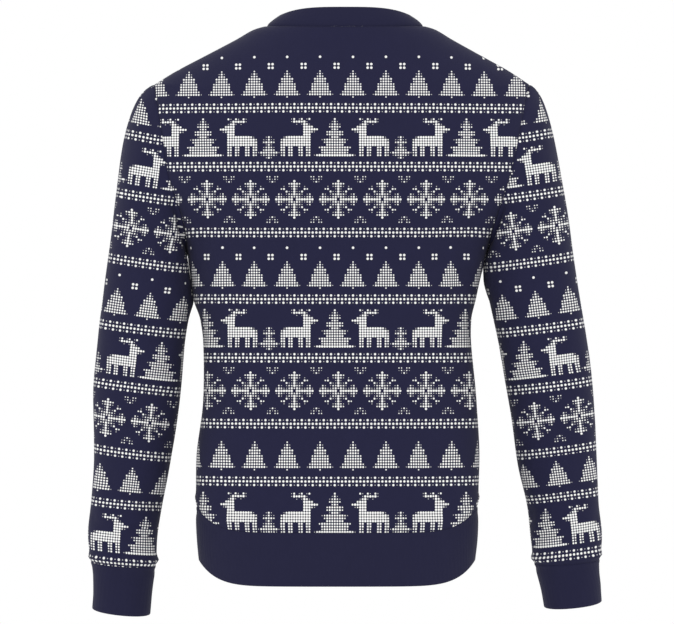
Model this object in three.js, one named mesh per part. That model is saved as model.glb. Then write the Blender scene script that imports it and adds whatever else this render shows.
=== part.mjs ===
// A knitted crew neck sweater, hollow and filled out as it is when worn, in millimetres.
// +Z is up, the wearer faces -Y, so the back is on the +Y side and the wearer's left is +X.
// The origin is the middle of the neck opening, level with the ends of the shoulder seams
// at the neck.
import * as THREE from 'three';

// The cloth
const WALL = 2;
const COLLAR_WALL = 2.6;
const SEAM_GAP = 0.3;
const SHARPEST_MITRE = 1.4;
const SHARPEST_CORNER = 0.5;

// How finely the pieces are cut into facets
const PANEL_COLUMNS = 24;
const ROWS_BELOW_ARMPIT = 12;
const ROWS_AT_ARMHOLE = 12;
const ROWS_AT_SHOULDER = 6;
const CAP_ROWS = 9;
const SLEEVE_ROWS = 13;
const BAND_ROWS = 3;
const COLLAR_ROWS = 4;

// Places along the panel's edge, measured up from the hem seam
const ARMPIT_UP = 314;
const SHOULDER_UP = 576;
const NECK_UP = 731;

const NAVY_KNIT = { color: '#2b2b44', roughness: 0.92, metalness: 0 };
const NAVY_BAND = { color: '#292940', roughness: 0.88, metalness: 0 };

function table(columns, ...rows) {
  return rows.map((row) => Object.fromEntries(columns.map((column, i) => [column, row[i]])));
}

// Levels of the body. A level is a ring round the body: `up` is how far it lies along the
// panel's edge, which is the side seam, then the armhole, then the shoulder seam.
// edgeX and edgeZ place that edge. backGape and frontGape are how far the armhole's edge
// stands behind and before the side line. back and front are the ring's depths at the
// middle, and backZ and frontZ its heights there. sway moves the ring to the wearer's left.
// round is the ring's superellipse power. backDip and frontDip are powers that say how
// late, on the way from the middle to the edge, the ring goes to the edge's height.
const BODY = table(
  ['up', 'edgeX', 'edgeZ', 'backGape', 'frontGape', 'back', 'backZ', 'front', 'frontZ',
    'sway', 'round', 'backDip', 'frontDip'],
  [0, 176, -600, 0, 0, 108, -631, 118, -630, 10, 2.5, 8, 6],
  [55, 177, -545, 0, 0, 104, -562, 120, -560, 9, 2.45, 6, 5],
  [130, 171, -470, 0, 0, 100, -478, 124, -478, 6.5, 2.4, 4, 4],
  [208, 167.5, -392, 0, 0, 100, -397, 128, -398, 10, 2.4, 2, 2],
  [233, 169.5, -367, 0, 0, 102, -370, 130, -372, 11.5, 2.4, 2, 2],
  [258, 176.5, -342, 0, 0, 104, -344, 131, -346, 13, 2.4, 2, 2],
  [283, 181, -317, 0, 0, 106, -318, 132, -320, 12, 2.4, 2, 2],
  [ARMPIT_UP, 187, -286, 0, 0, 108, -286, 133, -290, 10, 2.4, 2, 2],
  [351, 190.5, -262, 28, 26, 110, -261, 134, -270, 8.5, 2.4, 2, 2],
  [391, 199, -230, 50, 50, 110, -229, 134, -246, 7, 2.4, 2, 2],
  [433, 211.5, -192, 62, 64, 108, -193, 133, -217, 7, 2.4, 2, 2],
  [484, 221.5, -142, 56, 60, 104, -146, 130, -180, 5.5, 2.32, 2, 2],
  [526, 228, -105, 38, 42, 98.5, -114, 127, -156, 5, 2.15, 2, 2],
  [555, 232, -84, 18, 20, 95, -97, 124, -142, 4.5, 2, 2, 2],
  [SHOULDER_UP, 234, -73, 0, 0, 92.5, -87, 121.5, -134, 4, 1.9, 2, 2],
  [606, 209, -57, 0, 0, 87.5, -71, 117, -121, 3, 1.9, 2, 2],
  [648, 172, -37, 0, 0, 79.5, -48, 111, -107, 2, 1.95, 2, 2],
  [690, 135, -17, 0, 0, 71.5, -25, 104, -93, 1, 2, 2, 2],
  [713, 112, -4, 0, 0, 66.5, -12, 99.5, -84, 0.5, 2.05, 2, 2],
  [NECK_UP, 98, 0, 0, 0, 62, -2, 96, -78, 0, 2.1, 2, 2],
);

// The collar's free edge, in the same terms as a level of the body
const COLLAR_EDGE = {
  edgeX: 82, edgeZ: 13, backGape: 0, frontGape: 0, back: 55, backZ: 22.5, front: 81,
  frontZ: -57, sway: 0, round: 2.1, backDip: 3.7, frontDip: 2,
};
const COLLAR_SWELL = 1.5;

// The hem band hangs from the hem seam and draws in a little at its free edge
const HEM_BAND_HEIGHT = 67;
const HEM_BAND_DRAW = 0.982;
const HEM_BAND_SWELL = 0.008;

// Full rings of the sleeves, from below the armpit to the cuff seam. `down` is how far the
// ring lies along the sleeve. leftZ and rightZ are its middle's height, and the four in and
// out columns the distances of its inner and outer side from the middle of the body.
// rise is how steeply the ring climbs outwards and lean how steeply it falls backwards.
const RING_COLUMNS = ['down', 'leftZ', 'rightZ', 'leftIn', 'leftOut', 'rightIn', 'rightOut',
  'middleY', 'halfDepth', 'rise', 'lean'];
const SLEEVE = table(
  RING_COLUMNS,
  [0, -335, -335, 191.5, 301.5, 180, 291.5, -5, 61, 0.15, 0.03],
  [57, -392, -392, 201, 309, 192.5, 301, -8, 59, 0.15, 0.06],
  [132, -467, -467, 207.5, 315, 205, 311, -13, 56, 0.13, 0.08],
  [207, -542, -542, 219, 314.5, 216, 314.5, -19, 51, 0.11, 0.09],
  [265, -600, -600, 230, 318, 228.5, 317.5, -24, 47, 0.09, 0.1],
  [305, -640, -640, 235, 321.5, 232.5, 322, -28, 45.5, 0.07, 0.1],
  [336, -672, -669, 236.5, 319, 236.5, 319.5, -31, 41.5, 0.06, 0.1],
);

// The cuffs go on from the sleeves in the same terms
const CUFF = table(
  RING_COLUMNS,
  [0, -672, -669, 236.5, 319, 236.5, 319.5, -31, 41.5, 0.06, 0.1],
  [16, -688, -684, 239, 316, 240.5, 318.5, -33, 39, 0.07, 0.1],
  [38, -711, -704, 242, 315.5, 246, 320.5, -35.5, 38, 0.09, 0.12],
  [60, -732, -723, 244, 317, 249.5, 322, -37.5, 37.5, 0.1, 0.14],
);
const SLEEVE_ROUND = 2.15;

// How the sleeve's cap leaves the armhole: the angle below level at the shoulder and at the
// armpit, the lean to front and back between them, and the length of the curve's two arms
// as shares of the way from the armhole to the first full ring. Under the armpit the first
// arm is short and the second leans, so that the sleeve runs down close beside the body.
const CAP = {
  topAngle: THREE.MathUtils.degToRad(20),
  armpitAngle: THREE.MathUtils.degToRad(50),
  spread: 0.14,
  leftReach: 0.18,
  rightReach: 0.12,
  armpitReach: 0.06,
  leftLean: 0.12,
  rightLean: -0.41,
  lowerReach: 0.5,
};

// The largest folds. On a panel, a fold runs between two places given by their distance
// from the panel's middle, to the wearer's left, and their height. On a sleeve, the first
// number is degrees round from the outer side by way of the back. A negative depth is a
// ridge.
const FOLDS = table(
  ['piece', 'startAcross', 'startZ', 'endAcross', 'endZ', 'width', 'depth'],
  ['back_panel', 186, -205, 177, -335, 11, 6],
  ['back_panel', -188, -200, -168, -320, 11, 6],
  ['back_panel', 168, -215, 158, -330, 12, -2.5],
  ['back_panel', 146, -200, 130, -345, 15, 3.5],
  ['back_panel', -146, -205, -132, -300, 15, 3.5],
  ['back_panel', 120, -560, 100, -480, 16, 2],
  ['back_panel', -118, -570, -96, -500, 16, 2],
  ['front_panel', 184, -215, 172, -330, 12, 6],
  ['front_panel', -184, -212, -170, -325, 12, 6],
  ['front_panel', 150, -200, 118, -330, 16, 4],
  ['front_panel', -146, -190, -120, -310, 16, 4],
  ['front_panel', 120, -570, 96, -490, 16, 2.5],
  ['front_panel', -112, -575, -90, -500, 16, 2.5],
  ['sleeve_left', 150, -230, 70, -175, 12, 4],
  ['sleeve_left', 160, -300, 60, -245, 13, 4],
  ['sleeve_left', 140, -470, 50, -430, 13, 3],
  ['sleeve_left', 150, -600, 60, -570, 12, 3],
  ['sleeve_left', 300, -470, 220, -510, 14, 4],
  ['sleeve_right', 150, -215, 70, -165, 12, 4],
  ['sleeve_right', 165, -310, 60, -260, 13, 4],
  ['sleeve_right', 140, -455, 50, -420, 13, 3],
  ['sleeve_right', 155, -610, 70, -585, 12, 3],
  ['sleeve_right', 305, -480, 215, -500, 14, 4],
);
const SLEEVE_DEGREE = 0.95;
const FOLD_FADE = 26;

// Reading a table between its rows, on curves that never pass the values they join

function endSlopes(rows, column, by) {
  const rise = (i) => (rows[i + 1][column] - rows[i][column]) / (rows[i + 1][by] - rows[i][by]);
  return rows.map((row, i) => {
    if (i === 0) return rise(0);
    if (i === rows.length - 1) return rise(i - 1);
    const before = rise(i - 1);
    const after = rise(i);
    return before * after > 0 ? (2 * before * after) / (before + after) : 0;
  });
}

function readTable(rows, by, at) {
  let i = 0;
  while (i < rows.length - 2 && at > rows[i + 1][by]) i += 1;
  const span = rows[i + 1][by] - rows[i][by];
  const t = (at - rows[i][by]) / span;
  const value = (column) => {
    const slopes = endSlopes(rows, column, by);
    const bend = (t - 1) * (slopes[i] * (t - 1) + slopes[i + 1] * t) * t * span;
    const ease = t * t * (3 - 2 * t);
    return rows[i][column] * (1 - ease) + rows[i + 1][column] * ease + bend;
  };
  return Object.fromEntries(Object.keys(rows[0]).map((column) => [column, value(column)]));
}

function bodyLevel(up) {
  const below = up <= ARMPIT_UP;
  const shoulder = up >= SHOULDER_UP;
  const from = below ? 0 : shoulder ? SHOULDER_UP : ARMPIT_UP;
  const to = below ? ARMPIT_UP : shoulder ? NECK_UP : SHOULDER_UP;
  return readTable(BODY.filter((row) => row.up >= from && row.up <= to), 'up', up);
}

// Points along a curve, evenly spaced by length

function evenly(curve, from, to, count) {
  const fine = 40 * count;
  const params = Array.from({ length: fine + 1 }, (_, i) => from + ((to - from) * i) / fine);
  const points = params.map(curve);
  const lengths = [0];
  for (let i = 1; i <= fine; i += 1) {
    lengths.push(lengths[i - 1] + points[i].distanceTo(points[i - 1]));
  }
  const found = [];
  for (let k = 0; k <= count; k += 1) {
    const wanted = (lengths[fine] * k) / count;
    let i = 1;
    while (i < fine && lengths[i] < wanted) i += 1;
    const share = (wanted - lengths[i - 1]) / (lengths[i] - lengths[i - 1]);
    found.push(points[i - 1].clone().lerp(points[i], share));
  }
  return found;
}

function rounded(value, power) {
  return Math.sign(value) * Math.abs(value) ** (2 / power);
}

// One level of a panel, from its edge on the +X side to its edge on the -X side. The face
// is 1 for the back and -1 for the front.
function panelRow(level, face) {
  const gape = face > 0 ? level.backGape : level.frontGape;
  const depth = face > 0 ? level.back : level.front;
  const middleZ = face > 0 ? level.backZ : level.frontZ;
  const dip = face > 0 ? level.backDip : level.frontDip;
  const wide = level.edgeX / (1 - (gape / depth) ** level.round) ** (1 / level.round);
  const start = Math.acos((level.edgeX / wide) ** (level.round / 2));
  const curve = (angle) => {
    const x = wide * rounded(Math.cos(angle), level.round);
    const y = face * depth * rounded(Math.sin(angle), level.round);
    const share = Math.min(1, Math.abs(x) / level.edgeX);
    const z = middleZ + (level.edgeZ - middleZ) * share ** dip;
    return new THREE.Vector3(level.sway + x, y, z);
  };
  const row = evenly(curve, start, Math.PI - start, PANEL_COLUMNS);
  row[0].set(level.sway + level.edgeX, face * gape, level.edgeZ);
  row[PANEL_COLUMNS].set(level.sway - level.edgeX, face * gape, level.edgeZ);
  return row;
}

// A whole ring round the body, anticlockwise from above, from the +X side by the back
function bodyRing(level) {
  const front = panelRow(level, -1).reverse();
  return [...panelRow(level, 1).slice(0, -1), ...front.slice(0, -1)];
}

function steps(from, to, count) {
  return Array.from({ length: count }, (_, i) => from + ((to - from) * i) / count);
}

const PANEL_UPS = [
  ...steps(0, ARMPIT_UP, ROWS_BELOW_ARMPIT),
  ...steps(ARMPIT_UP, SHOULDER_UP, ROWS_AT_ARMHOLE),
  ...steps(SHOULDER_UP, NECK_UP, ROWS_AT_SHOULDER),
  NECK_UP,
];
const ARMPIT_ROW = ROWS_BELOW_ARMPIT;
const SHOULDER_ROW = ARMPIT_ROW + ROWS_AT_ARMHOLE;

function backGrid() {
  return PANEL_UPS.map((up) => panelRow(bodyLevel(up), 1));
}

function frontGrid() {
  return PANEL_UPS.map((up) => panelRow(bodyLevel(up), -1).reverse());
}

// Sleeves and cuffs. The side is 1 for the wearer's left. Column 0 is the underarm, and
// the columns go round by the back.
const ROUND_COLUMNS = 2 * ROWS_AT_ARMHOLE;

function columnAngle(column) {
  return Math.PI * (1 - column / ROWS_AT_ARMHOLE);
}

function sleeveRing(level, side) {
  const inner = side > 0 ? level.leftIn : level.rightIn;
  const outer = side > 0 ? level.leftOut : level.rightOut;
  const middleZ = side > 0 ? level.leftZ : level.rightZ;
  const half = (outer - inner) / 2;
  return Array.from({ length: ROUND_COLUMNS }, (_, column) => {
    const across = half * rounded(Math.cos(columnAngle(column)), SLEEVE_ROUND);
    const behind = level.halfDepth * rounded(Math.sin(columnAngle(column)), SLEEVE_ROUND);
    return new THREE.Vector3(
      side * (inner + half + across),
      level.middleY + behind,
      middleZ + level.rise * across - level.lean * behind,
    );
  });
}

function ringGrid(rings, count, side) {
  const end = rings.at(-1).down;
  return [...steps(0, end, count), end].map((down) => (
    sleeveRing(readTable(rings, 'down', down), side)
  ));
}

function armholeLoop(side, back, front) {
  const last = PANEL_COLUMNS;
  const loop = [];
  for (let i = ARMPIT_ROW; i <= SHOULDER_ROW; i += 1) loop.push(back[i][side > 0 ? 0 : last]);
  for (let i = SHOULDER_ROW - 1; i > ARMPIT_ROW; i -= 1) loop.push(front[i][side > 0 ? last : 0]);
  return loop.map((point) => point.clone());
}

function capColumn(start, end, column, side) {
  const height = (1 - Math.cos((Math.PI * column) / ROWS_AT_ARMHOLE)) / 2;
  const angle = THREE.MathUtils.lerp(CAP.armpitAngle, CAP.topAngle, height);
  const behind = CAP.spread * Math.sin(columnAngle(column));
  const leave = new THREE.Vector3(side * Math.cos(angle), behind, -Math.sin(angle)).normalize();
  const low = (1 - height) ** 4;
  const outwards = (side > 0 ? CAP.leftLean : CAP.rightLean) * low - SLEEVE[0].rise * height;
  const arrive = new THREE.Vector3(side * outwards, SLEEVE[0].lean, 1).normalize();
  const chord = start.distanceTo(end);
  const fullReach = side > 0 ? CAP.leftReach : CAP.rightReach;
  const reach = THREE.MathUtils.lerp(fullReach, CAP.armpitReach, low);
  return new THREE.CubicBezierCurve3(
    start,
    start.clone().addScaledVector(leave, reach * chord),
    end.clone().addScaledVector(arrive, CAP.lowerReach * chord),
    end,
  );
}

function sleeveGrid(side, back, front) {
  const loop = armholeLoop(side, back, front);
  const firstRing = sleeveRing(SLEEVE[0], side);
  const columns = loop.map((start, column) => capColumn(start, firstRing[column], column, side));
  const rows = steps(0, 1, CAP_ROWS).map((t) => columns.map((curve) => curve.getPoint(t)));
  return [...rows, ...ringGrid(SLEEVE, SLEEVE_ROWS, side)];
}

// Collar and hem band

function collarGrid() {
  const seam = bodyRing(bodyLevel(NECK_UP));
  const edge = bodyRing(COLLAR_EDGE);
  return [...steps(0, 1, COLLAR_ROWS), 1].map((t) => seam.map((point, i) => {
    const swell = 1 + (COLLAR_SWELL * Math.sin(Math.PI * t)) / Math.hypot(point.x, point.y);
    const placed = point.clone().lerp(edge[i], t);
    return placed.set(placed.x * swell, placed.y * swell, placed.z);
  }));
}

function hemBandGrid() {
  const seamLevel = bodyLevel(0);
  const seam = bodyRing(seamLevel);
  return [...steps(1, 0, BAND_ROWS), 0].map((t) => seam.map((point) => {
    const size = 1 + (HEM_BAND_DRAW - 1) * t + HEM_BAND_SWELL * Math.sin(Math.PI * t);
    return new THREE.Vector3(
      seamLevel.sway + (point.x - seamLevel.sway) * size,
      point.y * size,
      point.z - HEM_BAND_HEIGHT * t,
    );
  }));
}

// Pieces of cloth. A piece is a grid of points on its outer face, closed round on itself or
// not, and turn is -1 where the grid's rows and columns run left-handed round the outside.

function piece(name, grid, closed, turn, seams, wall, finish) {
  return { name, grid, closed, turn, seams, wall, finish };
}

function neighbours(cloth, i, j) {
  const { grid, closed } = cloth;
  const count = grid[0].length;
  const step = (k) => (closed ? (k + count) % count : Math.min(count - 1, Math.max(0, k)));
  const above = grid[Math.min(grid.length - 1, i + 1)][j];
  const below = grid[Math.max(0, i - 1)][j];
  return [grid[i][step(j + 1)].clone().sub(grid[i][step(j - 1)]), above.clone().sub(below)];
}

function gridNormals(cloth) {
  return cloth.grid.map((row, i) => row.map((_, j) => {
    const [along, up] = neighbours(cloth, i, j);
    return along.cross(up).multiplyScalar(cloth.turn).normalize();
  }));
}

function distanceToFold(fold, across, z) {
  const place = new THREE.Vector3(across, z, 0);
  const start = new THREE.Vector3(fold.startAcross, fold.startZ, 0);
  const end = new THREE.Vector3(fold.endAcross, fold.endZ, 0);
  return new THREE.Line3(start, end).closestPointToPoint(place, true, new THREE.Vector3())
    .distanceTo(place);
}

// Places of a grid's points in the terms of the folds' table
function foldPlaces(cloth) {
  const onSleeve = cloth.closed;
  return cloth.grid.map((row) => row.map((point, j) => {
    if (!onSleeve) return [point.x - (row[0].x + row.at(-1).x) / 2, point.z];
    const degrees = THREE.MathUtils.radToDeg(columnAngle(j));
    return [(degrees < 0 ? degrees + 360 : degrees) * SLEEVE_DEGREE, point.z];
  }));
}

function scaledFold(fold, onSleeve) {
  const scale = onSleeve ? SLEEVE_DEGREE : 1;
  return { ...fold, startAcross: fold.startAcross * scale, endAcross: fold.endAcross * scale };
}

// Folds die out towards the seams, so that the pieces still meet there
function clearOfSeams(cloth, i, j) {
  const { grid, closed } = cloth;
  const point = grid[i][j];
  const ends = [grid[0][j], grid.at(-1)[j]];
  if (!closed) ends.push(grid[i][0], grid[i].at(-1));
  const nearest = Math.min(...ends.map((end) => end.distanceTo(point)));
  return THREE.MathUtils.smoothstep(nearest, 0, FOLD_FADE);
}

function foldCloth(cloth) {
  const folds = FOLDS.filter((fold) => fold.piece === cloth.name)
    .map((fold) => scaledFold(fold, cloth.closed));
  const normals = gridNormals(cloth);
  const places = foldPlaces(cloth);
  const shares = cloth.grid.map((row, i) => row.map((_, j) => clearOfSeams(cloth, i, j)));
  cloth.grid.forEach((row, i) => row.forEach((point, j) => {
    const [across, z] = places[i][j];
    for (const fold of folds) {
      const away = distanceToFold(fold, across, z) / fold.width;
      const depth = fold.depth * shares[i][j] * Math.exp(-away * away);
      point.addScaledVector(normals[i][j], -depth);
    }
  }));
}

function placeKey(point) {
  return point.toArray().map((value) => Math.round(value * 1000)).join(' ');
}

// Where pieces meet, their walls share one direction, so that their edges lie side by side
function seamNormals(pieces) {
  const shared = new Map();
  for (const cloth of pieces) {
    cloth.normals = gridNormals(cloth);
    cloth.grid.forEach((row, i) => row.forEach((point, j) => {
      const key = placeKey(point);
      const entry = shared.get(key) ?? { sum: new THREE.Vector3(), count: 0 };
      entry.sum.add(cloth.normals[i][j]);
      entry.count += 1;
      shared.set(key, entry);
    }));
  }
  return shared;
}

function ringOf(cloth, i) {
  return cloth.grid[i].map((_, j) => [i, j]);
}

// The grid's edges as loops that run anticlockwise round the cloth, seen from outside
function edgeLoops(cloth) {
  const { grid, closed, turn } = cloth;
  const [lastRow, lastColumn] = [grid.length - 1, grid[0].length - 1];
  let loops;
  if (closed) {
    loops = { first: ringOf(cloth, 0), last: ringOf(cloth, lastRow).reverse() };
  } else {
    const sideUp = grid.slice(1, -1).map((_, i) => [i + 1, lastColumn]);
    const sideDown = grid.slice(1, -1).map((_, i) => [lastRow - 1 - i, 0]);
    const round = [...ringOf(cloth, 0), ...sideUp, ...ringOf(cloth, lastRow).reverse()];
    loops = { round: [...round, ...sideDown] };
  }
  if (turn < 0) Object.values(loops).forEach((loop) => loop.reverse());
  return loops;
}

// Half of the seam's gap, measured square to the edge on both sides of a corner
function moveOffSeam(cloth, loop, moved) {
  const count = loop.length;
  const read = (grid, k) => grid[loop[k % count][0]][loop[k % count][1]];
  const inward = loop.map((_, k) => {
    const along = read(cloth.grid, k + 1).clone().sub(read(cloth.grid, k));
    const normal = read(cloth.normals, k).clone().add(read(cloth.normals, k + 1));
    return normal.cross(along).normalize();
  });
  loop.forEach(([i, j], k) => {
    const before = inward[(k + count - 1) % count];
    const mitre = Math.max(SHARPEST_CORNER, 1 + before.dot(inward[k]));
    moved[i][j].addScaledVector(before.clone().add(inward[k]), SEAM_GAP / 2 / mitre);
  });
}

// Edges that face each other across a seam are cut along the same diagonal
function cutsFromFirst(grid, first, second) {
  return placeKey(grid[first[0]][first[1]]) < placeKey(grid[second[0]][second[1]]);
}

function solidFromCloth(cloth, shared) {
  const { grid, closed, turn, wall } = cloth;
  const outer = grid.map((row) => row.map((point) => point.clone()));
  const inner = grid.map((row, i) => row.map((point, j) => {
    const { sum, count } = shared.get(placeKey(point));
    const mitre = Math.min(SHARPEST_MITRE, count / sum.length());
    cloth.normals[i][j] = sum.clone().normalize();
    return point.clone().addScaledVector(cloth.normals[i][j], -wall * mitre);
  }));
  const loops = edgeLoops(cloth);
  for (const [name, loop] of Object.entries(loops)) {
    if (!cloth.seams.includes(name)) continue;
    moveOffSeam(cloth, loop, outer);
    moveOffSeam(cloth, loop, inner);
  }
  const width = grid[0].length;
  const size = grid.length * width;
  const index = ([i, j], inside) => (inside ? size : 0) + i * width + (j % width);
  const triangles = [];
  const addQuad = (a, b, c, d) => triangles.push(a, b, c, a, c, d);
  const addFace = (corners, inside) => {
    const [a, b, c, d] = corners.map((corner) => index(corner, inside));
    const facesOut = inside !== turn > 0;
    if (inside) addQuad(...(facesOut ? [b, c, d, a] : [b, a, d, c]));
    else addQuad(...(facesOut ? [a, b, c, d] : [a, d, c, b]));
  };
  const across = closed ? width : width - 1;
  for (let i = 0; i < grid.length - 1; i += 1) {
    for (let j = 0; j < across; j += 1) {
      const corners = [[i, j], [i, j + 1], [i + 1, j + 1], [i + 1, j]];
      if (j >= across / 2) corners.push(corners.shift());
      addFace(corners, false);
      addFace(corners, true);
    }
  }
  for (const loop of Object.values(loops)) {
    loop.forEach((corner, k) => {
      const next = loop[(k + 1) % loop.length];
      const round = [
        index(next, false), index(corner, false), index(corner, true), index(next, true)];
      if (cutsFromFirst(grid, next, corner)) addQuad(...round);
      else addQuad(...round.slice(1), round[0]);
    });
  }
  const geometry = new THREE.BufferGeometry();
  const positions = [...outer.flat(), ...inner.flat()].flatMap((point) => point.toArray());
  geometry.setAttribute('position', new THREE.Float32BufferAttribute(positions, 3));
  geometry.setIndex(triangles);
  geometry.computeVertexNormals();
  return geometry;
}

const back = backGrid();
const front = frontGrid();
const pieces = [
  piece('back_panel', back, false, 1, ['round'], WALL, NAVY_KNIT),
  piece('front_panel', front, false, 1, ['round'], WALL, NAVY_KNIT),
  piece('collar', collarGrid(), true, 1, ['first'], COLLAR_WALL, NAVY_BAND),
  piece('hem_band', hemBandGrid(), true, 1, ['last'], WALL, NAVY_BAND),
];
for (const [name, side] of [['left', 1], ['right', -1]]) {
  const sleeve = sleeveGrid(side, back, front);
  pieces.push(piece(`sleeve_${name}`, sleeve, true, side, ['first', 'last'], WALL, NAVY_KNIT));
  const cuff = ringGrid(CUFF, BAND_ROWS, side);
  pieces.push(piece(`cuff_${name}`, cuff, true, side, ['first'], WALL, NAVY_BAND));
}
pieces.forEach(foldCloth);
const shared = seamNormals(pieces);

const sweater = new THREE.Group();
sweater.name = 'christmas_sweater';
for (const cloth of pieces) {
  const material = new THREE.MeshStandardMaterial(cloth.finish);
  const mesh = new THREE.Mesh(solidFromCloth(cloth, shared), material);
  mesh.name = cloth.name;
  sweater.add(mesh);
}

export default sweater;
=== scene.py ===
"""A knitted christmas sweater, worn and hollow: its cloth, folds, seams, pattern and stage.

Forms are worked out in millimetres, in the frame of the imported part: +Z is up, the wearer
faces -Y, and +X is the wearer's left. They become metres when a mesh is made.
"""

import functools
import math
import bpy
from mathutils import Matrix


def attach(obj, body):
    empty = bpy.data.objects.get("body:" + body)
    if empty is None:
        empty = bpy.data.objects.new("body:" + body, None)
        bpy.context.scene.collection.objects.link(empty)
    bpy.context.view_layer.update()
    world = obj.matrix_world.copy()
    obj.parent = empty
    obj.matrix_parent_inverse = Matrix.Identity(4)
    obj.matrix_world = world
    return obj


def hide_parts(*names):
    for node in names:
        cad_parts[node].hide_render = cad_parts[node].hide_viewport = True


bl_info = {
    "name": "Christmas sweater",
    "version": (1, 0, 0),
    "blender": (4, 5, 0),
    "location": "View3D > Sidebar > Sweater",
    "description": "Builds a hollow knitted christmas sweater, its pattern and its stage",
    "category": "Add Mesh",
}

from collections import namedtuple

import bmesh
import bpy
import numpy as np
from mathutils import Matrix, Vector
from mathutils.kdtree import KDTree

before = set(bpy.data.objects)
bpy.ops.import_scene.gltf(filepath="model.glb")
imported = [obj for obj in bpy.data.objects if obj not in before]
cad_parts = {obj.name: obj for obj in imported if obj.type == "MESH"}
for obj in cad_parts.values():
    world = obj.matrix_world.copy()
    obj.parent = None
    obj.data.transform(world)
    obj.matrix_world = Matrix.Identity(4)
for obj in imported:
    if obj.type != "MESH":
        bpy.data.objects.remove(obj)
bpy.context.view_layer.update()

MM = 0.001

# Where the panel's edge passes from the side seam to the armhole, from there to the
# shoulder seam, and ends at the neck, in millimetres up from the hem seam
ARMPIT_UP = 314
SHOULDER_UP = 576
NECK_UP = 731

# Rings round the body. `up` is how far the ring lies along the panel's edge, which edge_x
# and edge_z place. The gapes are how far the armhole's edge stands behind and before the
# side line. The depths and heights at the middle of back and front follow, then the shift
# to the wearer's left, the superellipse power, and powers for how late the ring goes to
# the edge's height.
Level = namedtuple(
    "Level",
    "up edge_x edge_z back_gape front_gape back back_z front front_z sway round"
    " back_dip front_dip",
)
BODY = (
    Level(0, 176, -600, 0, 0, 108, -631, 118, -630, 10, 2.5, 8, 6),
    Level(55, 177, -545, 0, 0, 104, -562, 120, -560, 9, 2.45, 6, 5),
    Level(130, 171, -470, 0, 0, 100, -478, 124, -478, 6.5, 2.4, 4, 4),
    Level(208, 167.5, -392, 0, 0, 100, -397, 128, -398, 10, 2.4, 2, 2),
    Level(233, 169.5, -367, 0, 0, 102, -370, 130, -372, 11.5, 2.4, 2, 2),
    Level(258, 176.5, -342, 0, 0, 104, -344, 131, -346, 13, 2.4, 2, 2),
    Level(283, 181, -317, 0, 0, 106, -318, 132, -320, 12, 2.4, 2, 2),
    Level(ARMPIT_UP, 187, -286, 0, 0, 108, -286, 133, -290, 10, 2.4, 2, 2),
    Level(351, 190.5, -262, 28, 26, 110, -261, 134, -270, 8.5, 2.4, 2, 2),
    Level(391, 199, -230, 50, 50, 110, -229, 134, -246, 7, 2.4, 2, 2),
    Level(433, 211.5, -192, 62, 64, 108, -193, 133, -217, 7, 2.4, 2, 2),
    Level(484, 221.5, -142, 56, 60, 104, -146, 130, -180, 5.5, 2.32, 2, 2),
    Level(526, 228, -105, 38, 42, 98.5, -114, 127, -156, 5, 2.15, 2, 2),
    Level(555, 232, -84, 18, 20, 95, -97, 124, -142, 4.5, 2, 2, 2),
    Level(SHOULDER_UP, 234, -73, 0, 0, 92.5, -87, 121.5, -134, 4, 1.9, 2, 2),
    Level(606, 209, -57, 0, 0, 87.5, -71, 117, -121, 3, 1.9, 2, 2),
    Level(648, 172, -37, 0, 0, 79.5, -48, 111, -107, 2, 1.95, 2, 2),
    Level(690, 135, -17, 0, 0, 71.5, -25, 104, -93, 1, 2, 2, 2),
    Level(713, 112, -4, 0, 0, 66.5, -12, 99.5, -84, 0.5, 2.05, 2, 2),
    Level(NECK_UP, 98, 0, 0, 0, 62, -2, 96, -78, 0, 2.1, 2, 2),
)
COLLAR_EDGE = Level(0, 82, 13, 0, 0, 55, 22.5, 81, -57, 0, 2.1, 3.7, 2)
COLLAR_SWELL = 1.5

# The hem band draws in a little towards its free edge
HEM_BAND_HEIGHT = 67
HEM_BAND_DRAW = 0.982
HEM_BAND_SWELL = 0.008

# Rings of the sleeves and cuffs. `down` is how far the ring lies along the sleeve, then
# the height of its middle on the left and the right sleeve, the distances of its inner and
# outer side from the middle of the body, and the middle's place front to back. rise is how
# steeply a ring climbs outwards and lean how steeply it falls backwards.
Ring = namedtuple(
    "Ring",
    "down left_z right_z left_in left_out right_in right_out middle_y half_depth rise lean",
)
SLEEVE = (
    Ring(0, -335, -335, 191.5, 301.5, 180, 291.5, -5, 61, 0.15, 0.03),
    Ring(57, -392, -392, 201, 309, 192.5, 301, -8, 59, 0.15, 0.06),
    Ring(132, -467, -467, 207.5, 315, 205, 311, -13, 56, 0.13, 0.08),
    Ring(207, -542, -542, 219, 314.5, 216, 314.5, -19, 51, 0.11, 0.09),
    Ring(265, -600, -600, 230, 318, 228.5, 317.5, -24, 47, 0.09, 0.1),
    Ring(305, -640, -640, 235, 321.5, 232.5, 322, -28, 45.5, 0.07, 0.1),
    Ring(336, -672, -669, 236.5, 319, 236.5, 319.5, -31, 41.5, 0.06, 0.1),
)
CUFF = (
    SLEEVE[-1]._replace(down=0),
    Ring(16, -688, -684, 239, 316, 240.5, 318.5, -33, 39, 0.07, 0.1),
    Ring(38, -711, -704, 242, 315.5, 246, 320.5, -35.5, 38, 0.09, 0.12),
    Ring(60, -732, -723, 244, 317, 249.5, 322, -37.5, 37.5, 0.1, 0.14),
)
SLEEVE_ROUND = 2.15

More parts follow.
